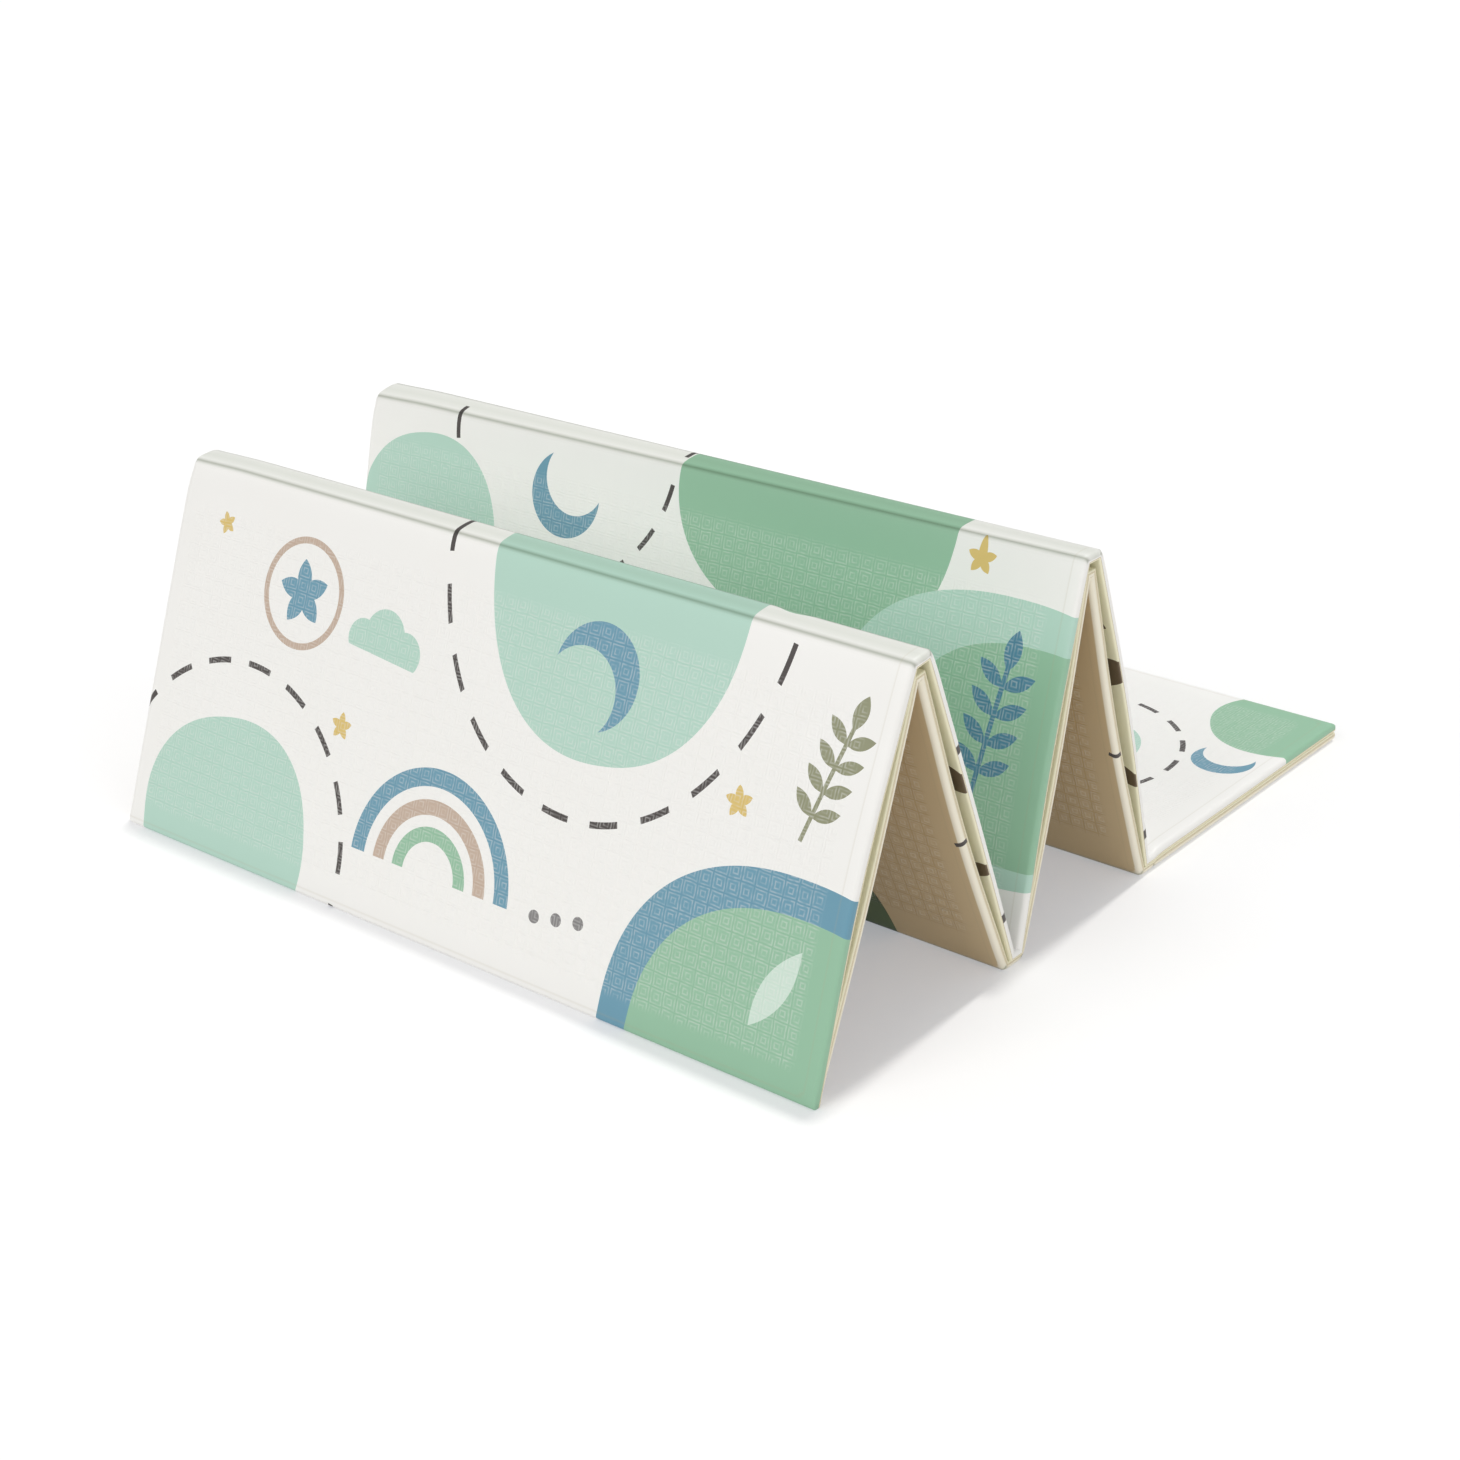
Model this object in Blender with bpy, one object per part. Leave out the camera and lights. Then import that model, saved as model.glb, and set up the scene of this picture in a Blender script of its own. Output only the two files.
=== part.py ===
# Folding baby play mat: one soft foam sheet, folded in half across its width
# and then back and forth along its length, standing in two tents with its last
# panel flat on the floor. X runs along the folds, Y from front to back, Z is up.
# The origin lies on the floor under the middle of the mat.
import math

import bmesh
import bpy
import numpy as np

# The sheet, in metres.
FOLDED_WIDTH = 0.905        # along X, from the half fold to the free ends
SHEET = 0.0098              # thickness of the foam in the open panels
HINGE = 0.0083              # thickness where a fold line is pressed
LAYER_GAP = 0.0010          # air between the two layers
RIM_RADIUS = 0.0042         # roundness of the edges on the printed side
SEAM_RADIUS = 0.0012        # roundness of the edges on the inner side

# Pressing beside a fold line: distance from the line, share of the pressing left.
PRESS_PROFILE = [
    {"distance": 0.000, "press": 1.00},
    {"distance": 0.006, "press": 0.30},
    {"distance": 0.016, "press": 0.00},
]

# Fold lines on the surface where the two layers meet, from front to back.
# y and z hold at the free ends, dy and dz are added at the half fold,
# overhang is how far the upper layer's free end stands out past the lower one's.
FOLD_LINES = [
    {"name": "foot", "y": 0.0110, "z": 0.0000, "dy": 0.0000, "dz": 0.000, "overhang": 0.006},
    {"name": "ridge1_front", "y": 0.1430, "z": 0.3568, "dy": -0.0005, "dz": 0.000, "overhang": 0.003},
    {"name": "ridge1_back", "y": 0.1585, "z": 0.3586, "dy": -0.0005, "dz": 0.000, "overhang": 0.003},
    {"name": "valley1_front", "y": 0.3020, "z": 0.0088, "dy": 0.0000, "dz": 0.000, "overhang": 0.003},
    {"name": "valley1_back", "y": 0.3215, "z": 0.0088, "dy": 0.0000, "dz": 0.000, "overhang": 0.003},
    {"name": "ridge2_front", "y": 0.4090, "z": 0.3679, "dy": -0.0100, "dz": -0.006, "overhang": 0.003},
    {"name": "ridge2_back", "y": 0.4240, "z": 0.3679, "dy": -0.0080, "dz": -0.002, "overhang": 0.003},
    {"name": "valley2_front", "y": 0.5420, "z": 0.0088, "dy": 0.0000, "dz": 0.000, "overhang": 0.001},
    {"name": "valley2_back", "y": 0.5600, "z": 0.0088, "dy": 0.0000, "dz": 0.000, "overhang": 0.001},
    {"name": "tail", "y": 0.9435, "z": 0.0103, "dy": 0.0000, "dz": 0.000, "overhang": 0.000},
]

# Panels between the fold lines, each from the fold line at "start" to the next.
# The layers drift apart in the middle of a panel, by upper_bow and lower_bow at
# the free ends and by nothing at the half fold. A panel that lies rests flat.
PANELS = [
    {"name": "panel1", "start": 0, "upper_bow": 0.0090, "lower_bow": 0.0040, "steps": 7, "lies": False},
    {"name": "panel2", "start": 2, "upper_bow": 0.0010, "lower_bow": 0.0060, "steps": 7, "lies": False},
    {"name": "panel3", "start": 4, "upper_bow": 0.0060, "lower_bow": 0.0045, "steps": 7, "lies": False},
    {"name": "panel4", "start": 6, "upper_bow": 0.0060, "lower_bow": 0.0060, "steps": 7, "lies": False},
    {"name": "panel5", "start": 8, "upper_bow": 0.0000, "lower_bow": 0.0000, "steps": 6, "lies": True},
]
BOW_POWER = 1.3             # how flat a bow starts and ends

RIDGE_SAG = 0.008           # how far the lower layer hangs off a ridge at the free ends
CORNER_PULL = 0.003         # how far the half fold draws in at a ridge
CORNER_REACH = 0.018        # how far along a panel that shows
RIDGE_DROOP = 0.002         # how far a ridge drops at the half fold
DROOP_SPAN = 0.090          # how far along X that shows
FOOT_CUT = 0.014            # how far up panel 1 the level cut of its foot reaches

FREE_END_MARGIN = 0.012     # first plain station inside the free ends
HALF_FOLD_MARGIN = 0.030    # first plain station inside the half fold
X_STEPS = 9                 # plain stations along each layer
TURN_STEPS = 8              # stations round the half fold
ROUND_STEPS = 3             # stations round a free edge
SHARP_ANGLE = math.radians(40)

MAT_COLOUR = (0.86, 0.86, 0.82, 1.0)
MAT_ROUGHNESS = 0.45


def smooth(t):
    """Ease from 0 to 1."""
    t = min(max(t, 0.0), 1.0)
    return t * t * (3.0 - 2.0 * t)


def clear_scene():
    for obj in list(bpy.data.objects):
        bpy.data.objects.remove(obj, do_unlink=True)


def pressing(distance):
    """Share of the fold line's pressing left at a distance from it."""
    for near, far in zip(PRESS_PROFILE, PRESS_PROFILE[1:]):
        if distance <= far["distance"]:
            span = far["distance"] - near["distance"]
            part = (distance - near["distance"]) / span
            return near["press"] + (far["press"] - near["press"]) * part
    return 0.0


def fold_point(row, left_share):
    y = row["y"] + row["dy"] * left_share
    z = row["z"] + row["dz"] * left_share
    return np.array([y, z])


def rim_places():
    """Distances from a free edge of the stations round its rim."""
    angles = [math.pi / 2 * k / ROUND_STEPS for k in range(1, ROUND_STEPS + 1)]
    return [RIM_RADIUS * (1.0 - math.cos(angle)) for angle in angles]


def panel_shares(length, steps, open_start, open_end):
    """Stations along a panel as shares of its length, closer beside fold lines."""
    pressed = [row["distance"] for row in PRESS_PROFILE[1:]]
    head = rim_places() + pressed[1:] if open_start else pressed
    tail = rim_places() + pressed[1:] if open_end else pressed
    first, last = head[-1], length - tail[-1]
    middle = [first + (last - first) * k / steps for k in range(1, steps)]
    places = [0.0] + head + middle + [length - d for d in reversed(tail)] + [length]
    return [place / length for place in places]


def is_ridge(index):
    return "ridge" in FOLD_LINES[index]["name"]


def panel_rows(number, panel):
    """The stations of one panel."""
    i = panel["start"]
    reach = fold_point(FOLD_LINES[i + 1], 0.0) - fold_point(FOLD_LINES[i], 0.0)
    length = float(np.linalg.norm(reach))
    open_start, open_end = number == 0, number == len(PANELS) - 1
    rows = []
    for share in panel_shares(length, panel["steps"], open_start, open_end):
        from_start, from_end = share * length, (1.0 - share) * length
        start_press = 0.0 if open_start else pressing(from_start)
        end_press = 0.0 if open_end else pressing(from_end)
        rows.append(
            {
                "line": i,
                "share": share,
                "thickness": SHEET + (HINGE - SHEET) * max(start_press, end_press),
                "rim": min(from_start if open_start else length, from_end if open_end else length),
                "ridge": min(from_end if is_ridge(i + 1) else length, from_start if is_ridge(i) else length),
                "sag": share * is_ridge(i + 1) + (1.0 - share) * is_ridge(i),
                "bulge": math.sin(math.pi * share) ** BOW_POWER,
                "panel": panel,
                "foot": open_start and from_start < FOOT_CUT,
                "lies": panel["lies"],
            }
        )
    return rows


def hinge_row(panel):
    """The station in the middle of the fold after a panel."""
    i = panel["start"] + 1
    ridge = is_ridge(i)
    return {
        "line": i,
        "share": 0.5,
        "thickness": HINGE,
        "rim": FOLDED_WIDTH,
        "ridge": 0.0 if ridge else FOLDED_WIDTH,
        "sag": 1.0 if ridge else 0.0,
        "bulge": 0.0,
        "panel": panel,
        "foot": False,
        "lies": False,
    }


def stations():
    """Every station along the sheet: between which two fold lines it lies, and its
    thickness, rim, bows and closeness to a ridge."""
    rows = []
    for number, panel in enumerate(PANELS):
        rows += panel_rows(number, panel)
        if number < len(PANELS) - 1:
            rows.append(hinge_row(panel))
    return rows


def centre_path(rows, left_share):
    """The surface where the layers meet, as one line of stations in Y and Z."""
    points = []
    for row in rows:
        a = fold_point(FOLD_LINES[row["line"]], left_share)
        b = fold_point(FOLD_LINES[row["line"] + 1], left_share)
        point = a + (b - a) * row["share"]
        if row["lies"]:
            point[1] = row["thickness"] + LAYER_GAP / 2
        points.append(point)
    return points


def offsets(rows, points):
    """At each station, the move that shifts both neighbouring stretches by one."""
    normals = []
    for a, b in zip(points, points[1:]):
        along = (b - a) / np.linalg.norm(b - a)
        normals.append(np.array([-along[1], along[0]]))
    moves = []
    for i, row in enumerate(rows):
        before = normals[max(i - 1, 0)]
        after = normals[min(i, len(normals) - 1)]
        if row["foot"]:
            # The foot is cut level, so that it stands flat on the floor.
            moves.append(np.array([math.copysign(1.0 / abs(after[0]), after[0]), 0.0]))
        else:
            moves.append((before + after) / (1.0 + float(before @ after)))
    return moves


def round_loss(distance, radius):
    """What a rounded edge takes off the face at a distance from the edge."""
    if distance >= radius:
        return 0.0
    return radius - math.sqrt(max(radius**2 - (radius - distance) ** 2, 0.0))


def layer_profile():
    """The hairpin of both layers seen along the sheet, from the upper layer's free end
    round the half fold to the lower layer's free end. Each entry: X, the layer's side
    (1 upper, -1 lower) and how far round the half fold."""
    reaches = [FOLDED_WIDTH - place for place in [0.0] + rim_places()]
    first = FOLDED_WIDTH - FREE_END_MARGIN
    for k in range(X_STEPS):
        reaches.append(first + (HALF_FOLD_MARGIN - first) * k / (X_STEPS - 1))
    upper = [{"x": x, "side": 1.0, "turn": None} for x in reaches]
    lower = [{"x": x, "side": -1.0, "turn": None} for x in reversed(reaches)]
    turn = [{"x": None, "side": 0.0, "turn": math.pi * k / TURN_STEPS} for k in range(TURN_STEPS + 1)]
    return upper + turn + lower


def fold_place(entry, row, outer):
    """X and depth of a corner on the half fold, where both surfaces run on half
    circles about the fold's axis."""
    depth_in = LAYER_GAP / 2
    depth_out = depth_in + row["thickness"]
    radius = depth_out - round_loss(row["rim"], RIM_RADIUS) if outer else depth_in
    pull = CORNER_PULL * math.exp(-((row["ridge"] / CORNER_REACH) ** 2))
    x = pull + depth_out - radius * math.sin(entry["turn"])
    return x, radius * math.cos(entry["turn"])


def arm_place(entry, row, outer):
    """X and depth of a corner on one of the two layers."""
    inset = FOLDED_WIDTH - entry["x"]
    upper = entry["side"] > 0
    if outer:
        loss = max(round_loss(inset, RIM_RADIUS), round_loss(row["rim"], RIM_RADIUS))
        depth = LAYER_GAP / 2 + row["thickness"] - loss
    else:
        loss = max(round_loss(inset, SEAM_RADIUS), round_loss(row["rim"], SEAM_RADIUS))
        depth = LAYER_GAP / 2 + loss
    bow = row["panel"]["upper_bow"] if upper else row["panel"]["lower_bow"]
    depth += bow * row["bulge"] * smooth(entry["x"] / FOLDED_WIDTH)
    a, b = FOLD_LINES[row["line"]], FOLD_LINES[row["line"] + 1]
    overhang = a["overhang"] + (b["overhang"] - a["overhang"]) * row["share"]
    x = entry["x"] if upper else entry["x"] * (1.0 - overhang / FOLDED_WIDTH)
    return x, depth * entry["side"]


def section_point(entry, row, centre_at, index, outer):
    """One corner of the mat's mesh: outer for the printed side."""
    place = arm_place if entry["turn"] is None else fold_place
    x, depth = place(entry, row, outer)
    centre, move = centre_at(1.0 - x / FOLDED_WIDTH, index)
    y, z = centre + move * depth
    near = math.exp(-((row["ridge"] / CORNER_REACH) ** 2))
    z -= RIDGE_DROOP * near * (1.0 - smooth(x / DROOP_SPAN))
    if entry["side"] < 0:
        z -= RIDGE_SAG * row["sag"] * smooth(x / FOLDED_WIDTH)
    return (x, float(y), float(z))


def make_centre_lookup(rows):
    """Stations and their moves at any X, worked out once for each share of the left."""
    known = {}

    def centre_at(left_share, index):
        key = round(left_share, 6)
        if key not in known:
            points = centre_path(rows, left_share)
            known[key] = (points, offsets(rows, points))
        points, moves = known[key]
        return points[index], moves[index]

    return centre_at


def make_material(name, colour, roughness):
    material = bpy.data.materials.new(name)
    material.use_nodes = True
    shader = material.node_tree.nodes["Principled BSDF"]
    shader.inputs["Base Color"].default_value = colour
    shader.inputs["Roughness"].default_value = roughness
    shader.inputs["Metallic"].default_value = 0.0
    return material


def stand_over_origin(mesh):
    """Move the mesh so that the middle of its box is over the origin."""
    for axis in (0, 1):
        places = [vert.co[axis] for vert in mesh.verts]
        middle = (min(places) + max(places)) / 2
        for vert in mesh.verts:
            vert.co[axis] -= middle


def make_mat():
    rows = stations()
    profile = layer_profile()
    centre_at = make_centre_lookup(rows)
    mesh = bmesh.new()
    rings = []
    count = len(profile)
    for index, row in enumerate(rows):
        outer = [mesh.verts.new(section_point(e, row, centre_at, index, True)) for e in profile]
        inner = [mesh.verts.new(section_point(e, row, centre_at, index, False)) for e in profile]
        rings.append((outer, inner))
    for (outer, inner), (next_outer, next_inner) in zip(rings, rings[1:]):
        for k in range(count - 1):
            mesh.faces.new((outer[k], next_outer[k], next_outer[k + 1], outer[k + 1]))
            mesh.faces.new((inner[k + 1], next_inner[k + 1], next_inner[k], inner[k]))
        mesh.faces.new((inner[0], next_inner[0], next_outer[0], outer[0]))
        mesh.faces.new((outer[-1], next_outer[-1], next_inner[-1], inner[-1]))
    for k in range(count - 1):
        outer, inner = rings[0]
        mesh.faces.new((outer[k], outer[k + 1], inner[k + 1], inner[k]))
        outer, inner = rings[-1]
        mesh.faces.new((outer[k], inner[k], inner[k + 1], outer[k + 1]))
    stand_over_origin(mesh)
    bmesh.ops.triangulate(mesh, faces=mesh.faces[:])
    bmesh.ops.recalc_face_normals(mesh, faces=mesh.faces[:])
    data = bpy.data.meshes.new("play_mat")
    mesh.to_mesh(data)
    mesh.free()
    data.shade_smooth()
    data.set_sharp_from_angle(angle=SHARP_ANGLE)
    mat = bpy.data.objects.new("play_mat", data)
    mat.data.materials.append(make_material("printed_foam", MAT_COLOUR, MAT_ROUGHNESS))
    bpy.context.collection.objects.link(mat)
    return mat


clear_scene()
make_mat()
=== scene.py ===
import math

import bmesh
import bpy
import numpy as np
from mathutils import Matrix, Vector


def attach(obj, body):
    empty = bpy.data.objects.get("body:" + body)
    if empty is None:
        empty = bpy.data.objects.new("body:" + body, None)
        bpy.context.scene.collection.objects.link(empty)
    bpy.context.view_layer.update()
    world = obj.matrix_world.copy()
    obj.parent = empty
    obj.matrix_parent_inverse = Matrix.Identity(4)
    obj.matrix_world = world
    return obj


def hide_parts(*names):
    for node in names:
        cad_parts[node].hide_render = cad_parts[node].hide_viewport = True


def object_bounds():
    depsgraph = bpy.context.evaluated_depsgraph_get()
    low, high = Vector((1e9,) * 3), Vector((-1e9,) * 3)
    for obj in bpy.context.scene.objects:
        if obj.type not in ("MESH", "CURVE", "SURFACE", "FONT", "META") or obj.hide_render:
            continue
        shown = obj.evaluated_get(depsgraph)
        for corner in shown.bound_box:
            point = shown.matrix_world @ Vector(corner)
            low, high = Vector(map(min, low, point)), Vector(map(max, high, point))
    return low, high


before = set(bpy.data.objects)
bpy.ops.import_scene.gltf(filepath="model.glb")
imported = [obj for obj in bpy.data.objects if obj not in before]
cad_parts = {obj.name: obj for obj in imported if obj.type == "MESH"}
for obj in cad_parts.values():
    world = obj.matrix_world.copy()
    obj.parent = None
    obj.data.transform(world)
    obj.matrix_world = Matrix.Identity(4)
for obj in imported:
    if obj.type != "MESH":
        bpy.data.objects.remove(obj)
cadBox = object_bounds()
print("frame loaded")


def addNode(tree, kind, **settings):
    node = tree.nodes.new(kind)
    for name, value in settings.items():
        setattr(node, name, value)
    return node


def feed(tree, socket, value):
    if isinstance(value, bpy.types.NodeSocket):
        tree.links.new(value, socket)
    else:
        socket.default_value = value


def feedAll(tree, node, values):
    for name, value in values.items():
        feed(tree, node.inputs[name], value)


def addObject(name, data):
    made = bpy.data.objects.new(name, data)
    bpy.context.collection.objects.link(made)
    return made


def mathNode(operation):
    def build(tree, *values, clamp=False):
        node = addNode(tree, "ShaderNodeMath", operation=operation, use_clamp=clamp)
        for socket, value in zip(node.inputs, values):
            feed(tree, socket, value)
        return node.outputs[0]

    return build


plus, minus, times, over = (mathNode(name) for name in ("ADD", "SUBTRACT", "MULTIPLY", "DIVIDE"))
isBelow, isAbove, larger = (mathNode(name) for name in ("LESS_THAN", "GREATER_THAN", "MAXIMUM"))
sizeOf, fraction, root, raised = (mathNode(name) for name in ("ABSOLUTE", "FRACT", "SQRT", "POWER"))
bearing, timesPlus = (mathNode(name) for name in ("ARCTAN2", "MULTIPLY_ADD"))


def mapped(tree, value, least, most, low=0.0, high=1.0, smooth=True):
    node = addNode(tree, "ShaderNodeMapRange", interpolation_type="SMOOTHSTEP" if smooth else "LINEAR")
    feedAll(tree, node, {"Value": value, "From Min": least, "From Max": most})
    feedAll(tree, node, {"To Min": low, "To Max": high})
    return node.outputs["Result"]


def noise(tree, place, scale, detail):
    node = addNode(tree, "ShaderNodeTexNoise", noise_dimensions="3D")
    feedAll(tree, node, {"Vector": place, "Scale": scale, "Detail": detail})
    return node.outputs


def blendColours(tree, share, first, second, kind="MIX"):
    node = addNode(tree, "ShaderNodeMix", data_type="RGBA", blend_type=kind)
    feed(tree, node.inputs[0], share)
    feed(tree, node.inputs[6], first)
    feed(tree, node.inputs[7], second)
    return node.outputs[2]


def axes(tree, vector):
    node = addNode(tree, "ShaderNodeSeparateXYZ")
    feed(tree, node.inputs[0], vector)
    return node.outputs[0], node.outputs[1], node.outputs[2]


def readAttribute(tree, name):
    return addNode(tree, "ShaderNodeAttribute", attribute_name=name, attribute_type="GEOMETRY").outputs


def newMaterial(name):
    material = bpy.data.materials.new(name)
    material.use_nodes = True
    return material, material.node_tree, material.node_tree.nodes["Principled BSDF"]


def addBump(tree, shader, height, strength, distance):
    bump = addNode(tree, "ShaderNodeBump")
    feedAll(tree, bump, {"Height": height, "Strength": strength, "Distance": distance})
    feed(tree, shader.inputs["Normal"], bump.outputs["Normal"])


def newGroup(name, inputs, outputs, kind="ShaderNodeTree"):
    tree = bpy.data.node_groups.new(name, kind)
    for socketName, socketType, value in inputs:
        socket = tree.interface.new_socket(name=socketName, in_out="INPUT", socket_type=socketType)
        if value is not None:
            socket.default_value = value
    for socketName, socketType in outputs:
        tree.interface.new_socket(name=socketName, in_out="OUTPUT", socket_type=socketType)
    return tree, addNode(tree, "NodeGroupInput").outputs, addNode(tree, "NodeGroupOutput").inputs


studio = {
    "cameraAt": (1.5691, -1.9350, 1.1907),
    "lens": 63.46,             # mm on the sensor below
    "sensor": 36.0,
    "turnLeft": 39.73,         # degrees, away from +Y
    "lookDown": 24.82,
    "roll": -1.013,
    "shift": (0.0096, 0.0118),
    "floorSize": 60.0,
    "floorGap": 0.0002,        # how far the floor lies below the mat
    "floorRoughness": 0.75,
    "floorColour": (0.70, 0.685, 0.655, 1.0),
    "glowColour": (0.84, 0.88, 0.97, 1.0),
    "floorGlow": 0.335,        # a lit table, so that it stays pale in shadow
    "glowOnMat": 0.55,         # how much of that glow lights the mat
    "skyColour": (1.0, 1.0, 1.0, 1.0),
    "skyStrength": 0.47,
    "backdrop": 1.0,           # the sky as the camera sees it
}

# Soft suns: where from, how strong, and how wide in degrees.
lamps = [
    {"name": "mainLight", "from": (-0.025, 0.41, 1.0), "power": 1.40, "spread": 3.5},
    {"name": "frontFill", "from": (-0.20, -1.0, 0.62), "power": 0.95, "spread": 40.0},
    {"name": "rightFill", "from": (1.0, -0.20, 0.30), "power": 0.55, "spread": 40.0},
]


def makeCamera():
    turn, dip, roll = (math.radians(studio[key]) for key in ("turnLeft", "lookDown", "roll"))
    ahead = Vector((-math.sin(turn) * math.cos(dip), math.cos(turn) * math.cos(dip), -math.sin(dip)))
    level = Vector((math.cos(turn), math.sin(turn), 0.0))
    above = level.cross(ahead)
    right = level * math.cos(roll) + above * math.sin(roll)
    up = above * math.cos(roll) - level * math.sin(roll)
    lensData = bpy.data.cameras.new("photoCamera")
    lensData.sensor_width = studio["sensor"]
    lensData.lens = studio["lens"]
    lensData.shift_x, lensData.shift_y = studio["shift"]
    camera = addObject("photoCamera", lensData)
    pose = Matrix((right, up, -ahead)).transposed().to_4x4()
    pose.translation = studio["cameraAt"]
    camera.matrix_world = pose
    bpy.context.scene.camera = camera


def makeLamp(row):
    lampData = bpy.data.lights.new(row["name"], "SUN")
    lampData.energy = row["power"]
    lampData.angle = math.radians(row["spread"])
    lamp = addObject(row["name"], lampData)
    lamp.rotation_euler = Vector(row["from"]).to_track_quat("Z", "Y").to_euler()


def seenByCamera(tree, others, camera):
    # One value for the camera's own rays and another for all the rest.
    path = addNode(tree, "ShaderNodeLightPath")
    return mapped(tree, path.outputs["Is Camera Ray"], 0.0, 1.0, others, camera, smooth=False)


def makeSky():
    world = bpy.data.worlds.new("paleStudio")
    world.use_nodes = True
    tree = world.node_tree
    strength = seenByCamera(tree, studio["skyStrength"], studio["backdrop"])
    feedAll(tree, tree.nodes["Background"], {"Color": studio["skyColour"], "Strength": strength})
    bpy.context.scene.world = world


def makeFloor():
    mesh = bmesh.new()
    bmesh.ops.create_grid(mesh, x_segments=2, y_segments=2, size=studio["floorSize"] / 2)
    floorData = bpy.data.meshes.new("studioFloor")
    mesh.to_mesh(floorData)
    mesh.free()
    floor = addObject("studioFloor", floorData)
    floor.location.z = cadBox[0][2] - studio["floorGap"]
    paint, tree, shader = newMaterial("paleFloor")
    onMat = studio["floorGlow"] * studio["glowOnMat"]
    feedAll(tree, shader, {
        "Base Color": studio["floorColour"],
        "Roughness": studio["floorRoughness"],
        "Specular IOR Level": 0.0,
        "Emission Color": studio["glowColour"],
        "Emission Strength": seenByCamera(tree, onMat, studio["floorGlow"]),
    })
    floorData.materials.append(paint)


makeCamera()
for lampRow in lamps:
    makeLamp(lampRow)
makeSky()
makeFloor()
bpy.context.scene.view_settings.view_transform = "Standard"
print("studio ready")

# The mat. Lengths in metres; across runs along the folds from the half fold to the
# free ends, along runs over the panels from the foot of the first to the tail.
matSheet = {
    "foldedWidth": 0.905,
    "flatSize": (1.81, 1.97),
    "thickness": 0.0098,
    "hingeThickness": 0.0083,  # where a fold line is pressed
    "layerGap": 0.0010,
    "rimRadius": 0.0042,       # on the printed side
    "seamRadius": 0.0012,      # on the inner side
    "bowPower": 1.3,           # how flat a bow starts and ends
    "ridgeSag": 0.008,         # the lower layer's hang off a ridge at the free ends
    "cornerPull": 0.003,       # how far the half fold draws in at a ridge
    "cornerReach": 0.018,
    "ridgeDroop": 0.002,       # how far a ridge drops at the half fold
    "droopSpan": 0.090,
    "footCut": 0.014,          # height up the first panel that is cut level
    "freeEndMargin": 0.012,
    "halfFoldMargin": 0.030,
    "acrossSteps": 70,
    "turnSteps": 16,
    "roundSteps": 4,
    "wallSteps": 3,
    "rowSpacing": 0.0115,
    "pressWidth": 0.0015,      # half width of the groove pressed along a fold line
    "pressDepth": 0.0012,
    "spineHeight": 0.0008,     # how far a ridge's back swells between its grooves
    "unevenness": 0.0006,
    "lumpSize": 0.085,
    "seed": 7,
    "curvedSpan": 0.02,        # stretches longer than this follow a curve
    "calmBand": 0.030,         # plain band beside folds and edges
    "foldShare": 0.75,         # how much of that band a fold takes
    "endShare": 1.25,          # and how much an open edge
    "tailOnFloor": 0.40,       # what lies flat on the floor before the tail
    "valleyOnFloor": 0.02,     # and beside a fold
    "looseBand": 0.05,         # where the foam begins to lie unevenly
    "smoothAngle": 50,         # degrees, sharper edges stay sharp
}

pressSteps = [
    {"distance": 0.000, "press": 1.00},
    {"distance": 0.006, "press": 0.30},
    {"distance": 0.016, "press": 0.00},
]

# Fold lines where the two layers meet. leftY and leftZ, where given, are added at the
# half fold, overhang is how far the upper layer's free end stands out past the lower's.
foldLines = [
    {"name": "foot", "y": 0.0110, "z": 0.0000, "overhang": 0.006},
    {"name": "ridgeOneFront", "y": 0.1430, "z": 0.3568, "leftY": -0.0005, "overhang": 0.003},
    {"name": "ridgeOneBack", "y": 0.1585, "z": 0.3586, "leftY": -0.0005, "overhang": 0.003},
    {"name": "valleyOneFront", "y": 0.3020, "z": 0.0088, "overhang": 0.003},
    {"name": "valleyOneBack", "y": 0.3215, "z": 0.0088, "overhang": 0.003},
    {"name": "ridgeTwoFront", "y": 0.4090, "z": 0.3679, "leftY": -0.0100, "leftZ": -0.006,
     "overhang": 0.003},
    {"name": "ridgeTwoBack", "y": 0.4240, "z": 0.3679, "leftY": -0.0080, "leftZ": -0.002,
     "overhang": 0.003},
    {"name": "valleyTwoFront", "y": 0.5420, "z": 0.0088, "overhang": 0.001},
    {"name": "valleyTwoBack", "y": 0.5600, "z": 0.0088, "overhang": 0.001},
    {"name": "tail", "y": 0.9435, "z": 0.0103, "overhang": 0.000},
]

# Panels between the fold lines. The layers drift apart in the middle of a panel, and
# the last one lies on the floor.
panels = [
    {"name": "panelOne", "start": 0, "upperBow": 0.0090, "lowerBow": 0.0040, "steps": 7},
    {"name": "panelTwo", "start": 2, "upperBow": 0.0010, "lowerBow": 0.0060, "steps": 7},
    {"name": "panelThree", "start": 4, "upperBow": 0.0060, "lowerBow": 0.0045, "steps": 7},
    {"name": "panelFour", "start": 6, "upperBow": 0.0060, "lowerBow": 0.0060, "steps": 7},
    {"name": "panelFive", "start": 8, "upperBow": 0.0000, "lowerBow": 0.0000, "steps": 6, "lies": True},
]

# Shares of a short stretch where extra rows go, counted from its fold line.
besideFold = [0.12, 0.24, 0.38, 0.60]
onSpine = [0.09, 0.19, 0.33, 0.60]


def ease(share):
    share = np.clip(share, 0.0, 1.0)
    return share * share * (3.0 - 2.0 * share)


def pressingAt(distance):
    places, presses = zip(*((row["distance"], row["press"]) for row in pressSteps))
    return float(np.interp(distance, places, presses))


def isRidge(index):
    return "ridge" in foldLines[index]["name"]


def foldPoints(index, leftShare):
    # One fold line's places in Y and Z for an array of shares towards the half fold.
    line = foldLines[index]
    y = line["y"] + line.get("leftY", 0.0) * leftShare
    z = line["z"] + line.get("leftZ", 0.0) * leftShare
    return np.stack([y, z], axis=-1)


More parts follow.
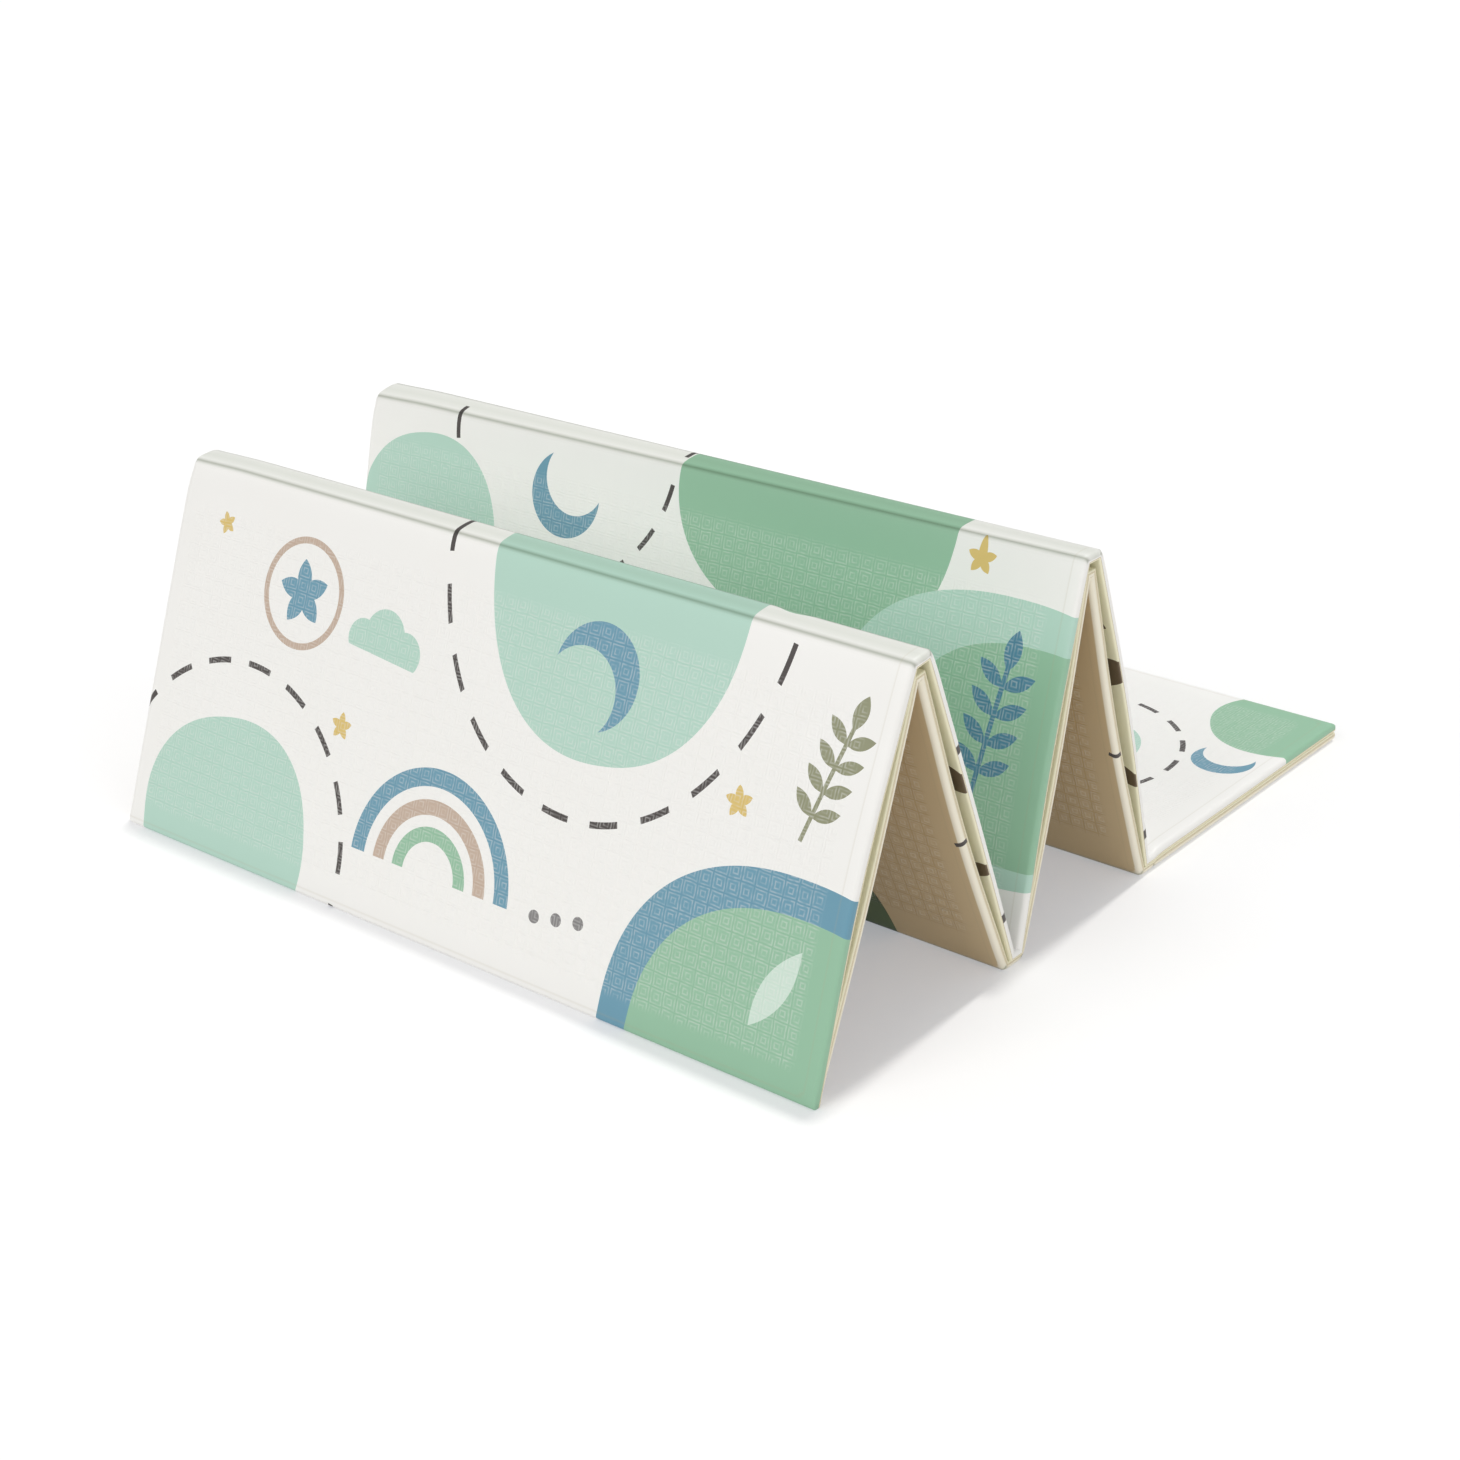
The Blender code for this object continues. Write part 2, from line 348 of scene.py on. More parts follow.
def foldGap(index):
    # From one fold line to the next, at the free ends.
    zero = np.zeros(1)
    return float(np.linalg.norm(foldPoints(index + 1, zero) - foldPoints(index, zero)))


def rimPlaces():
    count = matSheet["roundSteps"]
    angles = [math.pi / 2 * k / count for k in range(1, count + 1)]
    return [matSheet["rimRadius"] * (1.0 - math.cos(angle)) for angle in angles]


def panelShares(length, steps, openStart, openEnd):
    pressed = [row["distance"] for row in pressSteps[1:]]
    head = rimPlaces() + pressed[1:] if openStart else pressed
    tail = rimPlaces() + pressed[1:] if openEnd else pressed
    first, last = head[-1], length - tail[-1]
    middle = [first + (last - first) * k / steps for k in range(1, steps)]
    places = [0.0] + head + middle + [length - d for d in reversed(tail)] + [length]
    return [place / length for place in places]


def panelRows(number, panel):
    i = panel["start"]
    length = foldGap(i)
    openStart, openEnd = number == 0, number == len(panels) - 1
    rows = []
    for share in panelShares(length, panel["steps"], openStart, openEnd):
        fromStart, fromEnd = share * length, (1.0 - share) * length
        startPress = 0.0 if openStart else pressingAt(fromStart)
        endPress = 0.0 if openEnd else pressingAt(fromEnd)
        thinning = (matSheet["hingeThickness"] - matSheet["thickness"]) * max(startPress, endPress)
        rows.append({
            "line": i,
            "share": share,
            "number": number,
            "length": length,
            "thickness": matSheet["thickness"] + thinning,
            "rim": min(fromStart if openStart else length, fromEnd if openEnd else length),
            "ridge": min(fromEnd if isRidge(i + 1) else length, fromStart if isRidge(i) else length),
            "sag": share * isRidge(i + 1) + (1.0 - share) * isRidge(i),
            "bulge": math.sin(math.pi * share) ** matSheet["bowPower"],
            "panel": panel,
            "corner": (share == 0.0 and not openStart) or (share == 1.0 and not openEnd),
            "foot": openStart and fromStart < matSheet["footCut"],
            "lies": panel.get("lies", False),
        })
    return rows


def hingeRow(number, panel):
    i = panel["start"] + 1
    ridge = isRidge(i)
    return {
        "line": i,
        "share": 0.5,
        "number": number,
        "length": foldGap(i),
        "thickness": matSheet["hingeThickness"],
        "rim": matSheet["foldedWidth"],
        "ridge": 0.0 if ridge else matSheet["foldedWidth"],
        "sag": 1.0 if ridge else 0.0,
        "bulge": 0.0,
        "panel": panel,
        "corner": False,
        "foot": False,
        "lies": False,
    }


def sheetRows():
    rows = []
    for number, panel in enumerate(panels):
        rows += panelRows(number, panel)
        if number < len(panels) - 1:
            rows.append(hingeRow(number, panel))
    return rows


def hairpin():
    # Both layers seen along the sheet, from the upper free end round the half fold.
    width = matSheet["foldedWidth"]
    reaches = [width - place for place in [0.0] + rimPlaces()]
    first = width - matSheet["freeEndMargin"]
    count = matSheet["acrossSteps"]
    last = matSheet["halfFoldMargin"]
    reaches += [first + (last - first) * k / (count - 1) for k in range(count)]
    turnSteps = matSheet["turnSteps"]
    turns = [math.pi * k / turnSteps for k in range(turnSteps + 1)]
    upper = [{"x": x, "side": 1.0, "turn": None} for x in reaches]
    lower = [{"x": x, "side": -1.0, "turn": None} for x in reversed(reaches)]
    middle = [{"x": 0.0, "side": 0.0, "turn": turn} for turn in turns]
    return upper + middle + lower


def roundLoss(distance, radius):
    if distance >= radius:
        return 0.0
    return radius - math.sqrt(max(radius**2 - (radius - distance) ** 2, 0.0))


def cornerPlace(entry, row, outer):
    # X and depth of one corner, on a layer or round the half fold.
    width = matSheet["foldedWidth"]
    depthIn = matSheet["layerGap"] / 2
    depthOut = depthIn + row["thickness"]
    if entry["turn"] is not None:
        radius = depthOut - roundLoss(row["rim"], matSheet["rimRadius"]) if outer else depthIn
        pull = matSheet["cornerPull"] * math.exp(-((row["ridge"] / matSheet["cornerReach"]) ** 2))
        return pull + depthOut - radius * math.sin(entry["turn"]), radius * math.cos(entry["turn"])
    inset = width - entry["x"]
    radius = matSheet["rimRadius"] if outer else matSheet["seamRadius"]
    loss = max(roundLoss(inset, radius), roundLoss(row["rim"], radius))
    depth = depthOut - loss if outer else depthIn + loss
    upper = entry["side"] > 0
    bow = row["panel"]["upperBow"] if upper else row["panel"]["lowerBow"]
    depth += bow * row["bulge"] * float(ease(entry["x"] / width))
    start, end = foldLines[row["line"]], foldLines[row["line"] + 1]
    overhang = start["overhang"] + (end["overhang"] - start["overhang"]) * row["share"]
    x = entry["x"] if upper else entry["x"] * (1.0 - overhang / width)
    return x, depth * entry["side"]


def centresAt(row, leftShare):
    start = foldPoints(row["line"], leftShare)
    end = foldPoints(row["line"] + 1, leftShare)
    points = start + (end - start) * row["share"]
    if row["lies"]:
        points[:, 1] = row["thickness"] + matSheet["layerGap"] / 2
    return points


def normalsOf(first, second):
    along = second - first
    along /= np.linalg.norm(along, axis=1)[:, None]
    return np.stack([-along[:, 1], along[:, 0]], axis=1)


def sheetNet(rows, profile, outer):
    # The corners of one surface, row by row along the sheet.
    width = matSheet["foldedWidth"]
    side = np.array([entry["side"] for entry in profile])
    net = np.zeros((len(rows), len(profile), 3))
    for i, row in enumerate(rows):
        places = np.array([cornerPlace(entry, row, outer) for entry in profile])
        x, depth = places[:, 0], places[:, 1]
        left = 1.0 - x / width
        here = centresAt(row, left)
        before = normalsOf(centresAt(rows[i - 1], left), here) if i > 0 else None
        after = normalsOf(here, centresAt(rows[i + 1], left)) if i < len(rows) - 1 else before
        before = after if before is None else before
        if row["foot"]:
            # The foot is cut level, so that it stands flat on the floor.
            level = np.sign(after[:, 0]) / np.abs(after[:, 0])
            move = np.stack([level, np.zeros(len(profile))], axis=1)
        else:
            move = (before + after) / (1.0 + np.sum(before * after, axis=1))[:, None]
        point = here + move * depth[:, None]
        near = math.exp(-((row["ridge"] / matSheet["cornerReach"]) ** 2))
        point[:, 1] -= matSheet["ridgeDroop"] * near * (1.0 - ease(x / matSheet["droopSpan"]))
        point[:, 1] -= matSheet["ridgeSag"] * row["sag"] * ease(x / width) * (side < 0)
        net[i] = np.column_stack([x, point])
    return net


def stretchShares(rows, i):
    # Where extra rows go between two rows, as shares of the stretch.
    first, second = rows[i], rows[i + 1]
    if first["line"] != second["line"] and 0.5 in (first["share"], second["share"]):
        return onSpine if first["corner"] else [1.0 - share for share in reversed(onSpine)]
    if first["corner"]:
        return besideFold
    if second["corner"]:
        return [1.0 - share for share in reversed(besideFold)]
    length = (second["share"] - first["share"]) * first["length"]
    count = max(1, math.ceil(length / matSheet["rowSpacing"]))
    return [k / count for k in range(1, count)]


def rowPlaces(rows):
    # How far along the flat sheet each row lies.
    zero = np.zeros(1)
    places = [0.0]
    for first, second in zip(rows, rows[1:]):
        gap = float(np.linalg.norm(centresAt(second, zero) - centresAt(first, zero)))
        places.append(places[-1] + gap)
    return places


def slopesOf(net, places, rows):
    # Slopes before and after each row, with a break at every fold line.
    steps = np.diff(net, axis=0) / np.diff(places)[:, None, None]
    before = np.concatenate([steps[:1], steps])
    after = np.concatenate([steps, steps[-1:]])
    for i, row in enumerate(rows):
        if 0 < i < len(rows) - 1 and not row["corner"]:
            before[i] = after[i] = (before[i] + after[i]) / 2
    return before, after


def fineRows(net, places, rows):
    # Rows between the net's own ones, on a smooth curve along each open panel.
    before, after = slopesOf(net, places, rows)
    fine, finePlaces, numbers = [net[0]], [places[0]], [rows[0]["number"]]
    for i in range(len(rows) - 1):
        span = places[i + 1] - places[i]
        curved = span > matSheet["curvedSpan"]
        for share in stretchShares(rows, i) + [1.0]:
            if curved and share < 1.0:
                a, b = after[i] * span, before[i + 1] * span
                keep = share * share * (3.0 - 2.0 * share)
                point = net[i] + (net[i + 1] - net[i]) * keep
                point = point + a * (share * (1.0 - share) ** 2) - b * (share * share * (1.0 - share))
            else:
                point = net[i] + (net[i + 1] - net[i]) * share
            fine.append(point)
            finePlaces.append(places[i] + span * share)
            numbers.append(rows[i]["number"] if share < 1.0 else rows[i + 1]["number"])
    return np.array(fine), np.array(finePlaces), np.array(numbers)


def acrossPlaces(profile):
    # How far across the flat sheet each entry of the hairpin lies, below zero on the lower half.
    turnRadius = matSheet["thickness"] + matSheet["layerGap"] / 2
    extra = turnRadius * (math.pi / 2 - 1.0)
    places = []
    for entry in profile:
        if entry["turn"] is None:
            places.append(entry["side"] * (entry["x"] + extra))
        else:
            places.append(turnRadius * (math.pi / 2 - entry["turn"]))
    return np.array(places)


def buildSheet():
    rows = sheetRows()
    profile = hairpin()
    rowsAlong = rowPlaces(rows)
    outer, along, numbers = fineRows(sheetNet(rows, profile, True), rowsAlong, rows)
    inner, _, _ = fineRows(sheetNet(rows, profile, False), rowsAlong, rows)
    across = acrossPlaces(profile)
    rowCount, entryCount = outer.shape[:2]
    wallSteps = matSheet["wallSteps"]

    # Levels of corners through the thickness: 0 is the printed face, wallSteps the inner one.
    corners, flat, index = [], [], {}

    def addCorner(i, k, level):
        key = (i, k, level)
        if key not in index:
            share = level / wallSteps
            index[key] = len(corners)
            corners.append(outer[i, k] * (1.0 - share) + inner[i, k] * share)
            flat.append((across[k], along[i], share))
        return index[key]

    faces, areas = [], []
    edgeArea, innerArea = 2 * len(panels), 2 * len(panels) + 1
    half = entryCount // 2

    def addFace(keys, area):
        faces.append([addCorner(*key) for key in keys])
        areas.append(area)

    def printArea(i, k):
        return int(numbers[i]) + (len(panels) if k >= half else 0)

    def addWall(i, k, level, keys, flip):
        area = printArea(i, k) if level < wallSteps - 1 else edgeArea
        addFace(keys[::-1] if flip else keys, area)

    for i in range(rowCount - 1):
        for k in range(entryCount - 1):
            around = [(i, k), (i + 1, k), (i + 1, k + 1), (i, k + 1)]
            addFace([(*place, 0) for place in around], printArea(i, k))
            addFace([(*place, wallSteps) for place in reversed(around)], innerArea)
        for level in range(wallSteps):
            for k, flip in ((0, False), (entryCount - 1, True)):
                keys = [(i, k, level), (i, k, level + 1), (i + 1, k, level + 1), (i + 1, k, level)]
                addWall(i, k, level, keys, flip)
    for k in range(entryCount - 1):
        for level in range(wallSteps):
            for i, flip in ((0, False), (rowCount - 1, True)):
                keys = [(i, k, level), (i, k + 1, level), (i, k + 1, level + 1), (i, k, level + 1)]
                addWall(i, k, level, keys, flip)

    corners = np.array(corners)
    flat = np.array(flat)
    places = outer.reshape(-1, 3)
    middle = (places.min(axis=0) + places.max(axis=0)) / 2
    corners[:, 0] -= middle[0]
    corners[:, 1] -= middle[1]
    data = bpy.data.meshes.new("matSheet")
    data.from_pydata(corners.tolist(), [], faces)
    flatLayer = data.attributes.new("flatPlace", "FLOAT_VECTOR", "POINT")
    flatLayer.data.foreach_set("vector", np.ascontiguousarray(flat.ravel(), dtype=np.float32))
    areaLayer = data.attributes.new("printArea", "INT", "FACE")
    areaLayer.data.foreach_set("value", np.array(areas, dtype=np.int32))
    markFolds(data, flat, rows, rowsAlong, along[-1])
    mesh = bmesh.new()
    mesh.from_mesh(data)
    bmesh.ops.recalc_face_normals(mesh, faces=mesh.faces[:])
    mesh.to_mesh(data)
    mesh.free()
    return data


def markFolds(data, flat, rows, places, tail):
    # Marks on every corner for the presses, the spines, the calm bands and the lumps.
    across, along, through = flat.T
    lines = [(place, row) for place, row in zip(places, rows) if row["corner"]]
    printed = through == 0.0
    pressed = np.zeros(len(flat))
    spine = np.zeros(len(flat))
    fromFold = np.ones(len(flat))
    for place, row in lines:
        ridge = isRidge(row["line"] + (1 if row["share"] == 1.0 else 0))
        distance = np.abs(along - place)
        outside = across > 0 if ridge else across < 0
        shape = np.exp(-((distance / matSheet["pressWidth"]) ** 2))
        pressed = np.maximum(pressed, shape * outside * printed)
        fromFold = np.minimum(fromFold, distance)
    for (first, row), (second, _) in zip(lines[::2], lines[1::2]):
        if isRidge(row["line"] + 1):
            share = (along - first) / (second - first)
            swell = np.clip(1.0 - (2.0 * share - 1.0) ** 2, 0.0, 1.0)
            spine += swell * (across > 0) * printed
    fromEnd = np.minimum(matSheet["foldedWidth"] - np.abs(across), np.minimum(along, tail - along))
    fromEnd = np.maximum(fromEnd, 0.0)
    plain = np.minimum(matSheet["foldShare"] * fromFold, matSheet["endShare"] * fromEnd)
    plain = np.minimum(plain, np.abs(across))
    nearTail = along > places[-1] - matSheet["tailOnFloor"]
    onFloor = (across < 0) & (nearTail | (fromFold < matSheet["valleyOnFloor"]))
    loose = ease(plain / matSheet["looseBand"]) * printed * ~onFloor
    for name, values in (
        ("pressed", pressed), ("spine", spine), ("plainBand", plain),
        ("fromRim", fromEnd), ("loose", loose),
    ):
        layer = data.attributes.new(name, "FLOAT", "POINT")
        layer.data.foreach_set("value", np.ascontiguousarray(values, dtype=np.float32))


# The finish. Colours are the printer's inks and some painted shades as they look, from 0 to 255.
def ink(red, green, blue):
    def light(level):
        level /= 255.0
        return level / 12.92 if level <= 0.04045 else ((level + 0.055) / 1.055) ** 2.4

    return (light(red), light(green), light(blue), 1.0)


inks = {
    "ground": ink(247, 246, 243),
    # the lower half's own beige ground, darkened and warmed as painted shade for the inside of the
    # tents
    "warmGroundWithShade": ink(208, 186, 147),
    "cream": ink(244, 238, 220),
    "endBand": ink(218, 206, 174),
    "mint": ink(183, 217, 202),
    "paleMint": ink(209, 230, 216),
    "sage": ink(150, 194, 164),
    "moss": ink(82, 102, 62),
    "blue": ink(106, 156, 178),
    "deepBlue": ink(78, 134, 160),
    "charcoal": ink(74, 68, 66),
    "grey": ink(134, 132, 132),
    "sand": ink(198, 176, 158),
    "olive": ink(146, 148, 118),
    "ochre": ink(222, 194, 116),
    "edge": ink(236, 228, 204),
    "innerFilm": ink(246, 242, 214),
    "bark": ink(104, 88, 68),
    "seam": ink(178, 166, 132),
    "edgePatch": ink(224, 214, 184),
    "cloud": ink(232, 228, 214),   # these three multiply what lies under them
    # painted shade for a pressed fold line
    "creaseShade": ink(160, 166, 152),
    # painted shade that tones down a ridge's back
    "spineShade": ink(227, 230, 225),
}

film = {
    "cell": 0.0150,            # one embossed box
    "outerRib": 0.80,          # the ribs' places from a box's middle, as shares of its half
    "innerRib": 0.34,
    "ribWidth": 0.15,
    "padEdge": 0.86,           # where the groove between boxes begins
    "lowerPadEdge": 0.40,
    "bumpHeight": 0.0005,
    "bumpStrength": 0.7,
    "ribRelief": 0.7,          # shares of the bump's height
    "grooveRelief": 0.12,
    "grainRelief": 0.10,
    "ribTone": 0.30,           # how much lighter the ink is on a rib
    "ribPolish": 0.05,         # and how much smoother
    "grooveShadeTone": 0.07,        # how much painted shade darkens the colour between boxes, upper half
    # the same painted shade between boxes, lower half
    "lowerGrooveShadeTone": 0.28,
    "wobble": 0.0016,          # how far the embossing strays from its grid
    "wobbleNoise": (90.0, 0.0),    # scale and detail, as below
    "wear": (0.30, 1.0),       # the ribs' strength, from worn to crisp
    "wearFrom": (0.36, 0.60),  # the noise levels that stand for those
    "wearNoise": (150.0, 1.0),
    "cloudNoise": (9.0, 3.0),
    "cloudTone": 0.10,
    "grainNoise": (700.0, 1.0),
    "grainShare": 0.6,         # of the roughness' spread
    "calmFade": (-0.006, 0.004),   # about the edge of the calm band
    "rimFade": (0.0, 0.0014),  # where the lower half's cream edge ends
    "endFade": (0.05, 0.45),   # through the thickness, from cream to the end's band
    "rimLine": 0.0068,         # the film's seal beside an open edge
    "rimLineWidth": 0.0012,
    "rimLineTone": 0.16,
    "roughness": 0.42,
    "roughnessSpread": 0.10,
    "creaseShadeTone": 0.80,        # how much painted shade darkens a pressed line
    "spineShadeTone": 1.00,         # how far painted shade darkens a ridge's back
}

# The cut foam at the rim.
foamEdge = {
    "seamUpTo": 0.72,          # share of the thickness that the film's seam covers
    "poreScale": 900.0,
    "patchNoise": (40.0, 2.0),
    "bumpHeight": 0.0003,
    "bumpStrength": 0.5,
    "roughness": 0.55,
    "roughnessSpread": 0.2,
}


def allOf(tree, masks):
    result = masks[0]
    for mask in masks[1:]:
        result = times(tree, result, mask)
    return result


def anyOf(tree, masks):
    result = masks[0]
    for mask in masks[1:]:
        result = larger(tree, result, mask)
    return result


def distanceFrom(tree, x, y, centre=(0.0, 0.0)):
    dx = minus(tree, x, centre[0])
    dy = minus(tree, y, centre[1])
    return root(tree, plus(tree, times(tree, dx, dx), times(tree, dy, dy)))


def motifGroup(name, draw, **extras):
    # A motif's group: a place measured in the motif's own size goes in, its mask comes out.
    inputs = [("Place", "NodeSocketVector", None)]
    inputs += [(key, "NodeSocketFloat", value) for key, value in extras.items()]
    tree, start, end = newGroup(name, inputs, [("Mask", "NodeSocketFloat")])
    x, y, _ = axes(tree, start["Place"])
    feed(tree, end["Mask"], draw(tree, x, y, start))
    return tree


def drawPebble(tree, x, y, start):
    power = start["squareness"]
    side = raised(tree, sizeOf(tree, x), power)
    rise = raised(tree, sizeOf(tree, y), power)
    return isBelow(tree, plus(tree, side, rise), 1.0)


def drawRing(tree, x, y, start):
    radius = distanceFrom(tree, x, y)
    inside = isBelow(tree, radius, 1.0)
    outside = isAbove(tree, radius, minus(tree, 1.0, start["width"]))
    above = isAbove(tree, y, start["cut"])
    return allOf(tree, [inside, outside, above])


def dashesOf(tree, run, start):
    return isBelow(tree, fraction(tree, run), start["dash"])


def drawDashedRing(tree, x, y, start):
    radius = distanceFrom(tree, x, y)
    band = isBelow(tree, sizeOf(tree, minus(tree, radius, 1.0)), start["width"])
    angle = plus(tree, over(tree, bearing(tree, y, x), 2 * math.pi), 0.5)
    dash = dashesOf(tree, times(tree, angle, start["dashes"]), start)
    return allOf(tree, [band, dash, isBelow(tree, angle, start["sweep"])])


def drawDashedLine(tree, x, y, start):
    band = isBelow(tree, sizeOf(tree, y), start["width"])
    length = isBelow(tree, sizeOf(tree, x), 1.0)
    dash = dashesOf(tree, times(tree, plus(tree, x, 1.0), over(tree, start["dashes"], 2.0)), start)
    return allOf(tree, [band, length, dash])


def drawStar(tree, x, y, start):
    radius = distanceFrom(tree, x, y)
    turn = times(tree, bearing(tree, x, y), start["points"])
    turn = over(tree, turn, 2 * math.pi)
    tooth = sizeOf(tree, minus(tree, fraction(tree, plus(tree, turn, 0.5)), 0.5))
    reach = minus(tree, 1.0, times(tree, tooth, times(tree, start["depth"], 2.0)))
    return isBelow(tree, radius, reach)


def leafMask(tree, x, y, slim):
    # A leaf lying along x from -1 to 1.
    room = minus(tree, 1.0, times(tree, x, x))
    return isBelow(tree, sizeOf(tree, y), times(tree, room, slim))


def drawLeaf(tree, x, y, start):
    return leafMask(tree, x, y, start["slim"])


sprigForm = {
    "stem": 0.018,             # half the stem's width, as shares of the sprig's height
    "pairs": 5.0,
    "lean": math.radians(58.0),
    "leaf": 0.26,
    "slim": 0.20,
    "bareUpTo": 0.2,
    "tipAt": 1.06,
    "tipLeaf": 1 / 7,
    "tipSlim": 0.45,
}


def drawSprig(tree, x, y, start):
    # A stem up y from 0 to 1 with a pair of leaves at each step and one at the tip.
    form = sprigForm
    acrossLeaf, alongLeaf = math.sin(form["lean"]), math.cos(form["lean"])
    out = sizeOf(tree, x)
    belowTop = isBelow(tree, y, 1.0)
    stem = allOf(tree, [isBelow(tree, out, form["stem"]), isAbove(tree, y, 0.0), belowTop])
    step = over(tree, fraction(tree, times(tree, y, form["pairs"])), form["pairs"])
    run = plus(tree, times(tree, out, acrossLeaf), times(tree, step, alongLeaf))
    off = minus(tree, times(tree, out, alongLeaf), times(tree, step, acrossLeaf))
    share = minus(tree, times(tree, run, 2.0 / form["leaf"]), 1.0)
    leaf = leafMask(tree, share, over(tree, off, form["leaf"]), form["slim"])
    leaves = allOf(tree, [leaf, isAbove(tree, y, form["bareUpTo"]), belowTop])
    tipRise = over(tree, minus(tree, y, form["tipAt"]), form["tipLeaf"])
    tip = leafMask(tree, tipRise, over(tree, x, form["tipLeaf"]), form["tipSlim"])
    return anyOf(tree, [stem, leaves, tip])


crescentBiteAt = (0.42, 0.24)


def drawCrescent(tree, x, y, start):
    disc = isBelow(tree, distanceFrom(tree, x, y), 1.0)
    bite = isAbove(tree, distanceFrom(tree, x, y, crescentBiteAt), start["bite"])
    return allOf(tree, [disc, bite])


# A cloud's round puffs: middle and radius in shares of its half width.
cloudPuffs = [((-0.52, -0.05), 0.34), ((-0.02, 0.12), 0.48), ((0.52, -0.02), 0.38)]


def drawCloud(tree, x, y, start):
    puffs = [isBelow(tree, distanceFrom(tree, x, y, middle), radius) for middle, radius in cloudPuffs]
    return allOf(tree, [anyOf(tree, puffs), isAbove(tree, y, start["base"])])


def drawDots(tree, x, y, start):
    # A row of round dots along x from -1 to 1.
    perUnit = over(tree, start["dots"], 2.0)
    run = times(tree, plus(tree, x, 1.0), perUnit)
    near = over(tree, minus(tree, fraction(tree, run), 0.5), perUnit)
    dot = isBelow(tree, distanceFrom(tree, near, y), start["radius"])
    return allOf(tree, [dot, isBelow(tree, sizeOf(tree, x), 1.0)])


motifKinds = {
    "pebble": motifGroup("pebble", drawPebble, squareness=2.3),
    "ring": motifGroup("ring", drawRing, width=0.10, cut=-2.0),
    "dashedRing": motifGroup(
        "dashedRing", drawDashedRing, width=0.02, dashes=14.0, dash=0.55, sweep=1.0
    ),
    "dashedLine": motifGroup("dashedLine", drawDashedLine, width=0.02, dashes=6.0, dash=0.55),
    "star": motifGroup("star", drawStar, points=5.0, depth=0.52),
    "leaf": motifGroup("leaf", drawLeaf, slim=0.30),
    "sprig": motifGroup("sprig", drawSprig),
    "crescent": motifGroup("crescent", drawCrescent, bite=0.86),
    "cloud": motifGroup("cloud", drawCloud, base=-0.24),
    "dots": motifGroup("dots", drawDots, dots=3.0, radius=0.16),
}


def motif(kind, across, along, size, inkName, tall=1.0, turn=0, **extras):
    # One motif of the print. Places are metres on the flat sheet: across is above zero on
    # the upper half and below zero on the lower half, along counts from the foot. size is
    # half the motif's width, tall its height as a share of that, turn is in degrees.
    return {
        "kind": kind, "across": across, "along": along, "size": size, "ink": inkName,
        "tall": tall, "turn": turn, "extras": extras,
    }


